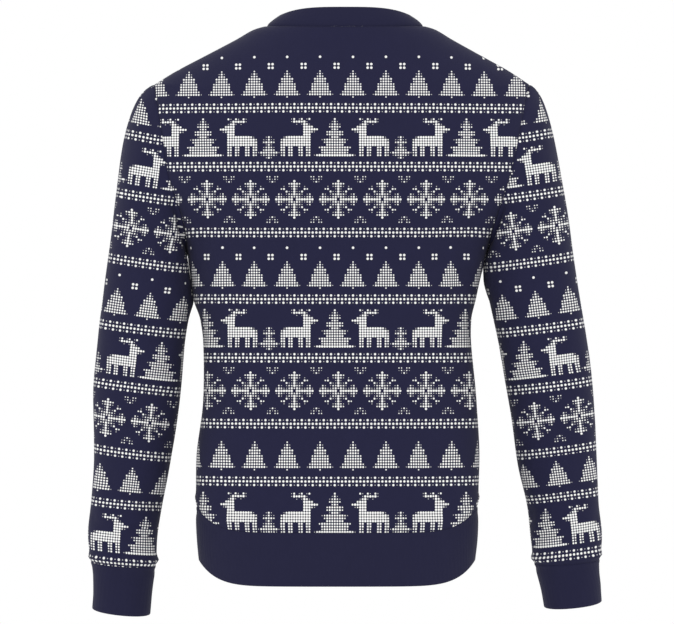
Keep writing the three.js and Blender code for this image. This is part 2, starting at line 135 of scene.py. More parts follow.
# How the sleeve's cap curves from the armhole to the first full ring: its angle below level
# where it leaves the shoulder and the armpit, the spread to front and back between them, the
# length of the curve's upper arm, on each side and at the armpit, and of its lower arm, as
# shares of the way, and how far the curve leans out where it arrives below the armpit
CAP_TOP_ANGLE = math.radians(20)
CAP_ARMPIT_ANGLE = math.radians(50)
CAP_SPREAD = 0.14
CAP_REACH = {1: 0.18, -1: 0.12}
CAP_ARMPIT_REACH = 0.06
CAP_LOWER_REACH = 0.5
CAP_LEAN = {1: 0.12, -1: -0.41}

# Folds, each a soft trough from one place to another, or a ridge where its depth is
# negative. On a panel a place is the distance from its middle, to the wearer's left, and
# the height. On a sleeve it is degrees round from the outer side by way of the back, and
# the height. bow bends the fold sideways.
Fold = namedtuple("Fold", "start_across start_z end_across end_z bow width depth")
FOLDS = {
    "back_panel": (
        Fold(176, -205, 168, -330, 0, 11, 2.5),
        Fold(-178, -200, -160, -318, 0, 11, 2.5),
        Fold(146, -200, 130, -345, 0, 15, 3.5),
        Fold(-146, -205, -132, -300, 0, 15, 3.5),
        Fold(120, -560, 100, -480, 0, 16, 2),
        Fold(-118, -570, -96, -500, 0, 16, 2),
    ),
    "front_panel": (
        Fold(176, -215, 166, -330, 0, 12, 3),
        Fold(-176, -212, -162, -325, 0, 12, 3),
        Fold(150, -200, 118, -330, 0, 16, 4),
        Fold(-146, -190, -120, -310, 0, 16, 4),
        Fold(120, -570, 96, -490, 0, 16, 2.5),
        Fold(-112, -575, -90, -500, 0, 16, 2.5),
    ),
    "sleeve_left": (
        Fold(150, -230, 70, -175, 0, 12, 4),
        Fold(118, -280, 60, -245, 0, 12, 3.5),
        Fold(176, -345, 160, -292, 0, 13, -2.6),
        Fold(140, -470, 50, -430, 0, 13, 3),
        Fold(150, -600, 60, -570, 0, 12, 3),
        Fold(300, -470, 220, -510, 0, 14, 4),
    ),
    "sleeve_right": (
        Fold(150, -215, 70, -165, 0, 12, 4),
        Fold(122, -292, 60, -258, 0, 12, 3.5),
        Fold(178, -316, 168, -286, 0, 15, -2.2),
        Fold(140, -455, 50, -420, 0, 13, 3),
        Fold(155, -610, 70, -585, 0, 12, 3),
        Fold(305, -480, 215, -500, 0, 14, 4),
    ),
}
# How far from a sewn edge a fold has its whole depth
FOLD_FADE = 26

# Smaller folds, which may run closer to a seam
SMALL_FOLDS = {
    "back_panel": (
        Fold(160, -240, 138, -420, 6, 9, 1.6),
        Fold(172, -300, 150, -470, -5, 8, 1.3),
        Fold(-158, -235, -136, -400, -6, 9, 1.6),
        Fold(-170, -310, -152, -455, 5, 8, 1.3),
        Fold(120, -210, 112, -330, 4, 12, 1.2),
        Fold(-118, -205, -108, -320, -4, 12, 1.1),
        Fold(196, -120, 168, -160, 4, 9, 1.2),
        Fold(-196, -118, -166, -158, -4, 9, 1.2),
        Fold(150, -612, 132, -540, 3, 6, 1.5),
        Fold(136, -616, 124, -560, 2, 5, -1),
        Fold(-148, -612, -130, -536, -3, 6, 1.5),
        Fold(-134, -616, -120, -556, -2, 5, -1),
        Fold(60, -520, -30, -545, 6, 16, 0.8),
        Fold(-70, -470, 20, -500, -6, 18, 0.8),
        Fold(90, -400, 30, -430, 8, 18, 0.7),
    ),
    "front_panel": (
        Fold(162, -245, 136, -410, 6, 9, 1.8),
        Fold(174, -310, 150, -480, -5, 8, 1.4),
        Fold(-160, -240, -134, -405, -6, 9, 1.8),
        Fold(-172, -300, -150, -460, 5, 8, 1.4),
        Fold(110, -110, 60, -140, 6, 13, 1.6),
        Fold(-112, -112, -64, -146, -6, 13, 1.6),
        Fold(150, -612, 130, -530, 3, 6, 1.6),
        Fold(-150, -610, -128, -534, -3, 6, 1.6),
        Fold(96, -240, 30, -285, 8, 20, 1.2),
        Fold(-92, -246, -26, -290, -8, 20, 1.2),
        Fold(60, -500, -40, -530, 7, 18, 1),
    ),
    "sleeve_left": (
        Fold(120, -190, 40, -120, 4, 9, 1.6),
        Fold(128, -350, 70, -305, -4, 9, 1.6),
        Fold(120, -400, 40, -372, 4, 10, 1.4),
        Fold(150, -520, 70, -500, -4, 10, 1.5),
        Fold(100, -640, 30, -618, 3, 7, 1.5),
        Fold(165, -650, 110, -628, -3, 6, 1.5),
        Fold(330, -420, 240, -440, 4, 12, 2),
        Fold(320, -560, 230, -590, -4, 10, 2),
        Fold(300, -220, 210, -260, 5, 12, 2),
        Fold(330, -655, 270, -640, 2, 6, 1.5),
    ),
    "sleeve_right": (
        Fold(118, -180, 38, -125, 4, 9, 1.6),
        Fold(128, -355, 66, -315, -4, 9, 1.6),
        Fold(122, -395, 44, -365, 4, 10, 1.4),
        Fold(150, -530, 68, -505, -4, 10, 1.5),
        Fold(96, -645, 28, -622, 3, 7, 1.5),
        Fold(160, -652, 112, -630, -3, 6, 1.5),
        Fold(330, -410, 236, -436, 4, 12, 2),
        Fold(318, -570, 226, -596, -4, 10, 2),
        Fold(300, -230, 214, -262, 5, 12, 2),
        Fold(332, -652, 268, -636, 2, 6, 1.5),
        Fold(176, -302, 168, -290, 0, 8, -1.2),
    ),
}
SMALL_FOLD_FADE = 9

# The straight steps that a bowed fold's line is made of
BOW_STEPS = 12

# The millimetres of cloth that a degree round a sleeve stands for
SLEEVE_DEGREE = 0.95
DEGREES_ROUND = 360 * SLEEVE_DEGREE

# Sewn cloth bulges or sinks beside its seams. Each is how far from the edge it lies, how
# broad and deep it is, how much its depth varies along the edge, and at an armhole how
# far up it reaches, as a share of the armhole's height.
SeamFold = namedtuple("SeamFold", "edge away width depth uneven top")
SEAM_FOLDS = {
    "back_panel": (SeamFold("first", 10, 6, -1.3, 0.5, None),),
    "front_panel": (SeamFold("first", 10, 6, -1.5, 0.5, None),),
    "sleeve_left": (
        SeamFold("last", 6.5, 4.5, -2.6, 0.3, None),
        SeamFold("first", 8, 5, 3.6, 0.3, 0.62),
        SeamFold("first", 4.8, 2.5, 4.6, 0.2, 0.56),
    ),
    "sleeve_right": (
        SeamFold("last", 6.5, 4.5, -2.4, 0.3, None),
        SeamFold("first", 8, 5, 3.2, 0.3, 0.6),
        SeamFold("first", 4.4, 2.2, 4.6, 0.2, 0.5),
    ),
    "cuff_left": (SeamFold("first", 6, 4, 0.8, 0.6, None),),
    "cuff_right": (SeamFold("first", 6, 4, 0.8, 0.6, None),),
    "hem_band": (SeamFold("last", 7, 5, 0.6, 0.6, None),),
}
# At the armpit itself they are left out, up to this share of the armhole's height
ARMPIT_CLEAR = 0.1

# What makes their depth uneven: waves round the edge, by their number, size and start
SEAM_WAVES = ((3, 1, 1), (7, 0.6, 2.2), (11, 0.4, 0))

# A sewn edge turns down into its seam, this deep and over this breadth, the way that the
# pieces within this reach share
SEAM_TURN = 0.8
SEAM_BREADTH = 1.8
SEAM_REACH = 3

# The slight waviness of worn cloth is two layers, each a depth and two waves that multiply.
# A wave has the millimetres along x, y and z that a radian of it takes, and a start.
Wave = namedtuple("Wave", "x y z start")
WAVINESS = (
    (0.55, Wave(37, 50, 61, 0), Wave(-88, math.inf, 43, 1.3)),
    (0.25, Wave(17, 21, -29, 0.7), Wave(41, math.inf, 23, 0)),
)

# Round the body the pattern is flat on cloth that shows at least the second share of its
# length from behind or in front, and as long as the cloth where it shows less than the
# first. Up the body, turned cloth carries at least this share of the pattern's length.
FLAT_SHARES = (0.3, 0.45)
TURNED_UP = 0.5

# Charts of the knitted pattern. Each is half of a motif, from its middle outwards, and
# row follows row downwards. A mark is a stitch's dot of white yarn, small to large.
MARKS = {" ": 0, ".": 1, "o": 2, "O": 3, "@": 4}
BAND_CHART = (
    ".O",
    "OO",
    "O.",
)
STAR_CHART = (
    "O",
    "",
    "    O",
    "    O",
)
TREE_CHART = (
    "o",
    "O.",
    "Oo",
    "OOO",
    "OOo",
    "OOOo",
    "OOOO",
    "OOOO",
    "OOOOo",
    "OOOOO.",
    "o",
)
BIG_TREE = (
    "O",
    "O.",
    "Oo.",
    "OOo",
    "Oo",
    "OOOo",
    "OOOo",
    "OO.",
    "OOOOo.",
    "OOOOo",
    "OOOO",
    "OOOOOOo",
    "OOOOOO",
    "OOOOOo",
    "@@@@@@@O.",
)
REINDEER = (
    "   O. O. O.    ",
    "    .@O@O@.    ",
    "   .O@. .      ",
    "  O@@@         ",
    "O@@@@@         ",
    " .o@@@         ",
    "   @@@         ",
    "   @@@@@@@@@O. ",
    "   @@@@@@@@@@@o",
    "   @@@@@@@@@@@O",
    "   @@@@@@@@@@@O",
    "   OO OO  OO OO",
    "   OO OO  OO OO",
    "   Oo Oo  OO Oo",
    "   OO Oo  OO Oo",
)
LITTLE_TREE = (
    "O.",
    "O..",
    "OOo",
    "O.",
    "Oo.",
    "OOo",
    "OOOO.",
    "Ooo.",
    "O.",
)
SNOWFLAKE_QUARTER = (
    "@",
    "@Oo",
    "@o. .",
    "@.  Oo",
    "@..O",
    "@oo. .o",
    "oOo..oO.",
    " @@@@@@@",
)
SPRIG = (
    " oo",
    ".o.",
    "O.",
)

# Where each chart lies on the cloth. `across` is the middle of a motif, from the middle of
# the body to the wearer's left, `width` and `height` the size of a stitch, `repeat` how
# many stitches the motif repeats after, `weight` how bold its dots are, and `starts` how
# far below the neck its first row lies, in `tall_starts` with stitches taller by TALL.
Motif = namedtuple("Motif", "chart across width height repeat weight starts tall_starts")
TALL = 1.06


def mirrored_down(quarter):
    """A whole chart from its upper half and middle row."""
    return quarter + quarter[-2::-1]


def overlaid(*layers):
    """One chart from several, each with the column and row of its first mark."""
    height = max(row + len(chart) for chart, _, row in layers)
    width = max(column + max(map(len, chart)) for chart, column, _ in layers)
    cells = [[" "] * width for _ in range(height)]
    for chart, column, row in layers:
        for i, line in enumerate(chart):
            for j, mark in enumerate(line):
                if mark != " ":
                    cells[row + i][column + j] = mark
    return tuple("".join(line) for line in cells)


def turned(half, width):
    """A half motif with its middle at the far end."""
    return tuple(line.ljust(width)[::-1] for line in half)


BAND_STARTS = (99.8, 172.7, 254.5, 337, 409.8, 491.6, 563, 638.5)
WOOD_CHART = overlaid((BIG_TREE, 0, 0), (REINDEER, 7, 0), (turned(LITTLE_TREE, 5), 22, 7))
SPRIG_CHART = SPRIG + (" ",) * 13 + SPRIG[::-1]
MOTIFS = (
    Motif(BAND_CHART, 31.02, 4.543, 4.543, 2, 0.8, BAND_STARTS, ()),
    Motif(STAR_CHART, 31.02, 4.543, 4.543, 9, 0.9, (40.5, 277.9), ()),
    Motif(TREE_CHART, 31.02, 3.145, 3.223, 13, 1, (58.5, 295.6), (518.9,)),
    Motif(WOOD_CHART, 12.73, 3.145, 3.204, 52, 1, (118.3, 355.3), (582.6,)),
    Motif(mirrored_down(SNOWFLAKE_QUARTER), 8.39, 3.207, 3.223, 17, 1, (195.4, 432.7), ()),
    Motif(SPRIG_CHART, -18.87, 3.207, 3.13, 17, 0.8, (189.9, 426.9), ()),
)

# A row of a chart is kept as the parts of a colour, each a number with a digit for a mark
DIGITS = 9
BASE = 5

# The square of a dot's radius in stitches is DOT_SIZE times its mark to the power
# DOT_GROWTH. A larger DOT_EDGE makes its edge sharper.
DOT_SIZE = 0.0446
DOT_GROWTH = 1.15
DOT_EDGE = 20

# The length that the ramp of a motif's starts covers, the millimetres that a whole colour
# part stands for where it holds a stitch's height, and the places that a chart's ramp has
PATTERN_LENGTH = 800
HEIGHT_UNIT = 10
RAMP_PLACES = 32

# In plain knitting, how steeply a strand leans, in heights of a stitch for its width, and
# how much of the square of its own height it loses at its ends
STRAND_LEAN = 1.1
STRAND_HOLLOW = 0.75

# How far a stitch stands out from the cloth, and how many clouds of slightly lighter or
# darker yarn fit into a metre
STITCH_DEPTH = 0.5
YARN_CLOUDS = 60

# How much the clouds vary the yarn's shade
JERSEY_SHADE = 0.12
RIB_SHADE = 0.1

# Worn wool and acrylic: matt, with a faint sheen from the fuzz and hardly any gloss
JERSEY_ROUGHNESS = 0.92
WRONG_SIDE_ROUGHNESS = 0.95
RIB_ROUGHNESS = 0.88
SHEEN = 0.04
SHEEN_ROUGHNESS = 0.5
GLOSS = 0.15

# How the body's pattern lies on each sleeve: from depth below the neck, at the middle of
# the sleeve's back, to the pattern's own depth; from depth to the pattern's place there;
# from depth to how steeply a row climbs outwards; which way round the pattern runs; and how
# much wider than the body's its stitches are. Lower down the rows are closer than on the
# body, with less plain cloth between them.
SLEEVE_DOWN = {
    1: (
        (140.7, 104.3), (215, 177.2), (297.6, 259), (379.5, 341.5), (452.3, 414.3),
        (534.8, 496.1), (541.5, 502.8), (551, 517.4), (584.7, 553.1), (598.3, 567.5),
        (612.3, 582.6), (657.6, 630.1), (671.7, 643),
    ),
    -1: (
        (138.2, 104.3), (212, 177.2), (295.4, 259), (378.6, 341.5), (450.6, 414.3),
        (531.7, 496.1), (538.4, 502.8), (542.4, 517.4), (574.8, 553.1), (588.1, 567.5),
        (602, 582.6), (647.3, 630.1), (661.1, 643),
    ),
}
SLEEVE_ACROSS = {
    1: (
        (108, -6.9), (197, -9.6), (255, -12.1), (350, -14.2), (419, -14.6), (496, -11.2),
        (569, -12.5), (637, -14.7),
    ),
    -1: (
        (107, -2.1), (199, -5.2), (253, -5.6), (348, -9), (417, -13.2), (493, -14.1),
        (559, -11.3), (627, -10.8),
    ),
}
SLEEVE_CLIMB = {
    1: ((139, 0.165), (214, 0.15), (296, 0.138), (379, 0.122), (535, 0.122), (598, 0.09)),
    -1: ((137, 0.137), (294, 0.134), (377, 0.123), (670, 0.123)),
}
SLEEVE_WAY = {1: -1, -1: 1}
SLEEVE_WIDER = 1.005

# A piece's outer face, the places of its points in the pattern, whether it closes on
# itself, which way its normals run, and its sewn edges
Form = namedtuple("Form", "grid places closed turn edges")
EDGE_SLICES = {
    "first": np.s_[:1],
    "last": np.s_[-1:],
    "left": np.s_[:, :1],
    "right": np.s_[:, -1:],
}

# Columns and rows of each piece's grid. A sleeve has its cap's rows and then its own.
PANEL_GRID = (128, 150)
SLEEVE_GRID = (104, 50, 84)
CUFF_GRID = (96, 16)
COLLAR_GRID = (168, 10)
HEM_BAND_GRID = (256, 22)

# Beside a sewn edge the columns or rows lie closer, at these distances from it. Where the
# length differs from one to the next, one usual length stands for all.
SEAM_STEPS = (0, 0.7, 1.5, 2.5, 4, 6.5)
PANEL_ROW_LENGTH = 520
CAP_LENGTH = 150
COLLAR_HEIGHT = 26

# No other row of a panel lies closer than this to the rows at the armpit and the shoulder
CORNER_ROOM = 1.8

# Points on the outline that a panel's row is measured along
OUTLINE_POINTS = 1600

# A band's free edge is rounded off, this broad, where it turns by more than this
EDGE_SOFTNESS = 0.6
EDGE_TURN = math.radians(60)

# The middle of the picture, in metres, and its width in pixels
VIEW_MIDDLE = Vector((0.010, 0, -0.3575))
PICTURE_WIDTH = 674

# The floor's radius in metres, how light its plaster is, and how much that varies
FLOOR_RADIUS = 3
FLOOR_TONE = 0.87
FLOOR_SHADE = 0.02

# Light from all round, and lamps by name, place, size and power
WORLD_LIGHT = 1.0
LAMPS = (
    ("Key light", (1.6, 3.0, 1.4), (1.6, 1.6), 11),
    ("Front light", (0.6, -3.0, 1.2), (1.6, 1.6), 11),
)

MATH = "ShaderNodeMath"
MIX = "ShaderNodeMix"


def linear(hex_colour):
    """An sRGB hex colour as linear red, green and blue."""
    values = [int(hex_colour[i:i + 2], 16) / 255 for i in (1, 3, 5)]
    return [v / 12.92 if v <= 0.04045 else ((v + 0.055) / 1.055) ** 2.4 for v in values]


# Forms


def slope_at(rows, i, k):
    """The slope of column k at row i, which never lets the curve pass a value it joins."""
    def rise(n):
        return (rows[n + 1][k] - rows[n][k]) / (rows[n + 1][0] - rows[n][0])

    if i == 0:
        return rise(0)
    if i == len(rows) - 1:
        return rise(i - 1)
    before, after = rise(i - 1), rise(i)
    return 2 * before * after / (before + after) if before * after > 0 else 0


def read_table(rows, at):
    """A row of the table at any place between its rows."""
    i = 0
    while i < len(rows) - 2 and at > rows[i + 1][0]:
        i += 1
    span = rows[i + 1][0] - rows[i][0]
    t = (at - rows[i][0]) / span
    ease = t * t * (3 - 2 * t)
    found = []
    for k in range(len(rows[0])):
        before, after = slope_at(rows, i, k), slope_at(rows, i + 1, k)
        bend = (t - 1) * (before * (t - 1) + after * t) * t * span
        found.append(rows[i][k] * (1 - ease) + rows[i + 1][k] * ease + bend)
    return type(rows[0])(*found)


def body_level(up):
    """The ring round the body at one place of the panel's edge."""
    if up <= ARMPIT_UP:
        low, high = 0, ARMPIT_UP
    elif up < SHOULDER_UP:
        low, high = ARMPIT_UP, SHOULDER_UP
    else:
        low, high = SHOULDER_UP, NECK_UP
    return read_table([row for row in BODY if low <= row.up <= high], up)


def rounded(values, power):
    """Sines or cosines squared off for a superellipse of that power."""
    return np.sign(values) * np.abs(values) ** (2 / power)


def of_face(level, face):
    """The gape, depth, middle height and dip power at a level's back, where face is 1, or
    at its front."""
    if face > 0:
        return level.back_gape, level.back, level.back_z, level.back_dip
    return level.front_gape, level.front, level.front_z, level.front_dip


def panel_row(level, face, shares):
    """One level of a panel, at shares of its length from the +X edge."""
    gape, depth, middle_z, dip = of_face(level, face)
    wide = level.edge_x / (1 - (gape / depth) ** level.round) ** (1 / level.round)
    start = math.acos(min(1, (level.edge_x / wide) ** (level.round / 2)))
    angles = np.linspace(start, math.pi - start, OUTLINE_POINTS)
    x = wide * rounded(np.cos(angles), level.round)
    y = face * depth * rounded(np.sin(angles), level.round)
    share = np.minimum(1, np.abs(x) / level.edge_x)
    z = middle_z + (level.edge_z - middle_z) * share ** dip
    line = np.stack([level.sway + x, y, z], axis=1)
    lengths = path_lengths(line)
    wanted = shares * lengths[-1]
    return np.stack([np.interp(wanted, lengths, axis) for axis in line.T], axis=1)


def path_lengths(line):
    """How far each point lies along a line of points."""
    steps = np.linalg.norm(np.diff(line, axis=0), axis=-1)
    return np.concatenate([np.zeros_like(steps[:1]), np.cumsum(steps, axis=0)])


def with_seam_steps(length, regular, at_start=True, at_end=True):
    """Shares of a length, evenly spaced, with closer ones where the edge turns down."""
    close = np.array(SEAM_STEPS)
    first = close if at_start else close[:1]
    last = close if at_end else close[:1]
    middle = np.linspace(first[-1], length - last[-1], regular + 1)[1:-1]
    return np.concatenate([first, middle, length - last[::-1]]) / length


def panel_grid(face, columns, rows):
    """A panel's outer face, whose columns run anticlockwise round the body from above."""
    shares = with_seam_steps(PANEL_ROW_LENGTH, columns)
    if face < 0:
        shares = 1 - shares
    ups = NECK_UP * with_seam_steps(NECK_UP, rows)
    corners = np.array([ARMPIT_UP, SHOULDER_UP])
    clear = np.abs(ups[:, None] - corners).min(axis=1) > CORNER_ROOM
    ups = np.sort(np.concatenate([ups[clear], corners]))
    return np.stack([panel_row(body_level(up), face, shares) for up in ups])


def body_ring(level, count):
    """A whole ring round the body, from the +X side by the back, its end on its start."""
    shares = np.linspace(0, 1, count // 2 + 1)
    back = panel_row(level, 1, shares)
    front = panel_row(level, -1, 1 - shares)
    return np.concatenate([back, front[1:]])


def column_angles(count):
    """Angles round a sleeve from the underarm by the back and round to it again."""
    return np.linspace(math.pi, -math.pi, count + 1)


def ring_middle(ring, side):
    """The distance of the ring's middle from the body's, its half width and its height."""
    inner = ring.left_in if side > 0 else ring.right_in
    outer = ring.left_out if side > 0 else ring.right_out
    return (inner + outer) / 2, (outer - inner) / 2, ring.left_z if side > 0 else ring.right_z


def sleeve_ring(ring, side, count):
    """A whole ring round a sleeve or cuff, from the underarm by the back."""
    angles = column_angles(count)
    middle, half, height = ring_middle(ring, side)
    across = half * rounded(np.cos(angles), SLEEVE_ROUND)
    behind = ring.half_depth * rounded(np.sin(angles), SLEEVE_ROUND)
    return np.stack([
        side * (middle + across),
        ring.middle_y + behind,
        height + ring.rise * across - ring.lean * behind,
    ], axis=1)


def armhole_point(side, face, up):
    """Where the armhole's edge is at one place of the panel's edge."""
    level = body_level(up)
    gape = of_face(level, face)[0]
    return np.array([level.sway + side * level.edge_x, face * gape, level.edge_z])


def armhole_loop(side, count):
    """The armhole's edge, from the armpit up the back and down the front."""
    half = count // 2
    ups = np.linspace(ARMPIT_UP, SHOULDER_UP, half + 1)
    back = [armhole_point(side, 1, up) for up in ups]
    front = [armhole_point(side, -1, up) for up in ups[-2::-1]]
    return np.array(back + front)


def cap_grid(side, count, shares):
    """The sleeve's cap, on curves from the armhole down to the first full ring."""
    start = armhole_loop(side, count)
    end = sleeve_ring(SLEEVE[0], side, count)
    angles = column_angles(count)
    height = (1 - np.cos(math.pi - angles)) / 2
    fall = CAP_ARMPIT_ANGLE + (CAP_TOP_ANGLE - CAP_ARMPIT_ANGLE) * height
    leave = np.stack([side * np.cos(fall), CAP_SPREAD * np.sin(angles), -np.sin(fall)], axis=1)
    flat = np.ones_like(height)
    low = (1 - height) ** 4
    outwards = CAP_LEAN[side] * low - SLEEVE[0].rise * height
    arrive = np.stack([side * outwards, SLEEVE[0].lean * flat, flat], axis=1)
    chord = np.linalg.norm(end - start, axis=1)[:, None]
    reach = CAP_REACH[side] + (CAP_ARMPIT_REACH - CAP_REACH[side]) * low
    upper = start + unit(leave) * chord * reach[:, None]
    lower = end + unit(arrive) * chord * CAP_LOWER_REACH
    t = shares[:, None, None]
    left = 1 - t
    return (
        left**3 * start + 3 * left * left * t * upper + 3 * left * t * t * lower + t**3 * end
    )


def unit(vectors):
    """The vectors with a length of one."""
    return vectors / np.linalg.norm(vectors, axis=-1, keepdims=True)


def sleeve_grid(side, columns, cap_rows, rows):
    """A sleeve's outer face from the armhole down, and how many of its rows are its cap's."""
    cap_shares = with_seam_steps(CAP_LENGTH, cap_rows, at_end=False)
    end = SLEEVE[-1].down
    downs = end * with_seam_steps(end, rows, at_start=False)
    rings = [sleeve_ring(read_table(SLEEVE, down), side, columns) for down in downs[1:]]
    return np.concatenate([cap_grid(side, columns, cap_shares), rings]), len(cap_shares)


def cuff_grid(side, columns, rows):
    """A cuff's outer face from its seam down."""
    end = CUFF[-1].down
    downs = end * with_seam_steps(end, rows, at_end=False)
    return np.array([sleeve_ring(read_table(CUFF, down), side, columns) for down in downs])


def collar_grid(columns, rows):
    """The collar's outer face, from the neck seam up to its free edge."""
    seam = body_ring(body_level(NECK_UP), columns)
    edge = body_ring(COLLAR_EDGE, columns)
    t = with_seam_steps(COLLAR_HEIGHT, rows, at_end=False)[:, None]
    swell = 1 + COLLAR_SWELL * np.sin(math.pi * t) / np.linalg.norm(seam[:, :2], axis=1)
    grid = seam + (edge - seam) * t[:, :, None]
    grid[:, :, :2] *= swell[:, :, None]
    return grid


def hem_band_grid(columns, rows):
    """The hem band's outer face, from its free edge up to its seam."""
    level = body_level(0)
    seam = body_ring(level, columns)
    t = 1 - with_seam_steps(HEM_BAND_HEIGHT, rows, at_start=False)[:, None]
    size = 1 + (HEM_BAND_DRAW - 1) * t + HEM_BAND_SWELL * np.sin(math.pi * t)
    x = level.sway + (seam[:, 0] - level.sway) * size
    y = seam[:, 1] * size
    return np.stack([x, y, seam[:, 2] - HEM_BAND_HEIGHT * t], axis=2)


# Folds and seams


def differences(grid, closed):
    """Steps along the grid's columns and its rows at every point."""
    if closed:
        wrapped = np.concatenate([grid[:, -2:-1], grid, grid[:, 1:2]], axis=1)
        along = wrapped[:, 2:] - wrapped[:, :-2]
    else:
        along = np.gradient(grid, axis=1)
    return along, np.gradient(grid, axis=0)


def grid_normals(grid, closed, turn):
    """The way out of the cloth at every point."""
    along, up = differences(grid, closed)
    return turn * unit(np.cross(along, up))


def seam_distance(grid, closed):
    """How far each point lies from the nearest end of its row and column."""
    ends = [grid[:1], grid[-1:]]
    if not closed:
        ends += [grid[:, :1], grid[:, -1:]]
    return np.min([np.linalg.norm(grid - end, axis=2) for end in ends], axis=0)


def smoothstep(values, width):
    """From 0 to 1 as the values go from 0 to width, level at both ends."""
    t = np.clip(values / width, 0, 1)
    return t * t * (3 - 2 * t)


def fold_depth(across, z, fold, scale):
    """How deep one fold is at each place."""
    steps = np.linspace(0, 1, BOW_STEPS + 1)
    bend = fold.bow * 4 * steps * (1 - steps)
    line_across = (fold.start_across + (fold.end_across - fold.start_across) * steps) * scale
    line_z = fold.start_z + (fold.end_z - fold.start_z) * steps
    direction = np.array([line_across[-1] - line_across[0], line_z[-1] - line_z[0]])
    direction = direction / np.hypot(*direction)
    line_across = line_across - direction[1] * bend
    line_z = line_z + direction[0] * bend
    nearest = np.full(across.shape, np.inf)
    for k in range(BOW_STEPS):
        step = np.array([line_across[k + 1] - line_across[k], line_z[k + 1] - line_z[k]])
        from_start = np.stack([across - line_across[k], z - line_z[k]], axis=-1)
        share = np.clip(from_start @ step / (step @ step), 0, 1)
        away = np.linalg.norm(from_start - share[..., None] * step, axis=-1)
        nearest = np.minimum(nearest, away)
    return fold.depth * np.exp(-((nearest / fold.width) ** 2))


def fold_places(grid, closed):
    """The places of the points in the terms of the tables of folds."""
    if not closed:
        middle = (grid[:, :1, 0] + grid[:, -1:, 0]) / 2
        return grid[:, :, 0] - middle, grid[:, :, 2]
    degrees = np.degrees(column_angles(grid.shape[1] - 1)) % 360 * SLEEVE_DEGREE
    return np.broadcast_to(degrees, grid.shape[:2]), grid[:, :, 2]


def folded(name, grid, closed, turn):
    """The cloth with its folds, and its sewn edges as they were."""
    across, z = fold_places(grid, closed)
    scale = SLEEVE_DEGREE if closed else 1
    from_seam = seam_distance(grid, closed)
    depth = np.zeros(grid.shape[:2])
    for folds, fade in ((FOLDS, FOLD_FADE), (SMALL_FOLDS, SMALL_FOLD_FADE)):
        for fold in folds.get(name, ()):
            found = fold_depth(across, z, fold, scale)
            if closed:
                found = found + fold_depth(across - DEGREES_ROUND, z, fold, scale)
            depth += found * smoothstep(from_seam, fade)
    depth += unevenness(grid) * smoothstep(from_seam, FOLD_FADE)
    for fold in SEAM_FOLDS.get(name, ()):
        depth += beside_seam(grid, fold)
    return grid - grid_normals(grid, closed, turn) * depth[..., None]


def beside_seam(grid, fold):
    """How deep the cloth sinks beside one sewn edge."""
    away = np.linalg.norm(grid - grid[EDGE_SLICES[fold.edge]], axis=2)
    round_it = np.linspace(0, 2 * math.pi, grid.shape[1])
    waves = sum(size * np.sin(number * round_it + start) for number, size, start in SEAM_WAVES)
    depth = fold.depth * (1 + fold.uneven * waves / 2)
    if fold.top:
        height = (1 - np.cos(round_it)) / 2
        depth = depth * (1 - smoothstep(height, fold.top)) * smoothstep(height, ARMPIT_CLEAR)
    shape = np.exp(-(((away - fold.away) / fold.width) ** 2))
    return depth * shape * smoothstep(away, fold.away)


def unevenness(grid):
    """The slight, broad waviness that any worn cloth has."""
    x, y, z = np.moveaxis(grid, 2, 0)
    total = np.zeros(grid.shape[:2])
    for depth, *waves in WAVINESS:
        layer = [np.sin(x / w.x + y / w.y + z / w.z + w.start) for w in waves]
        total += depth * layer[0] * layer[1]
    return total


def seam_directions(forms):
    """For each sewn edge, the way out of the seam that the pieces meeting there share."""
    normals = {n: grid_normals(f.grid, f.closed, f.turn) for n, f in forms.items()}
    trees = {}
    for name, form in forms.items():
        edges = [EDGE_SLICES[edge] for edge in form.edges]
        points = np.concatenate([form.grid[edge].reshape(-1, 3) for edge in edges])
        outward = np.concatenate([normals[name][edge].reshape(-1, 3) for edge in edges])
        tree = KDTree(len(points))
        for k, point in enumerate(points):
            tree.insert(point, k)
        tree.balance()
        trees[name] = (tree, outward)
    shared = {}
    for name, form in forms.items():
        for edge in form.edges:
            points = form.grid[EDGE_SLICES[edge]]
            total = np.zeros_like(points)
            for tree, outward in trees.values():
                for place in np.ndindex(points.shape[:2]):
                    _, nearest, away = tree.find(points[place])
                    if away < SEAM_REACH:
                        total[place] += outward[nearest]
            shared[name, edge] = unit(total)
    return shared


def sewn(name, form, shared):
    """Turns the sewn edges down into their seams."""
    grid = form.grid
    away = np.stack([
        np.linalg.norm(grid - grid[EDGE_SLICES[edge]], axis=2) for edge in form.edges])
    nearest = np.argmin(away, axis=0)
    down = SEAM_TURN * np.exp(-((away.min(axis=0) / SEAM_BREADTH) ** 2))
    directions = np.stack([
        np.broadcast_to(shared[name, edge], grid.shape) for edge in form.edges])
    chosen = np.take_along_axis(directions, nearest[None, ..., None], axis=0)[0]
    return grid - chosen * down[..., None]


# Where the pattern lies on the cloth


def flatness(shares):
    """From 0 to 1 as cloth shows from the first to the second of FLAT_SHARES."""
    low, high = FLAT_SHARES
    return smoothstep(shares - low, high - low)


def laid(steps, lengths):
    """Steps of the pattern round the body: flat as seen, and as long as the cloth beyond."""
    flat = np.abs(steps)
    return flat + (lengths - flat) * (1 - flatness(flat / lengths))


def at_least(steps, lengths, share):
    """Steps of the flat pattern, which turned cloth shortens only so far."""
    return np.maximum(np.abs(steps), share * lengths)


def summed_from(steps, start):
    """Sums of steps along the last axis, both ways from one point."""
    total = np.concatenate([np.zeros_like(steps[..., :1]), np.cumsum(steps, axis=-1)], axis=-1)
    return total - total[..., start:start + 1]


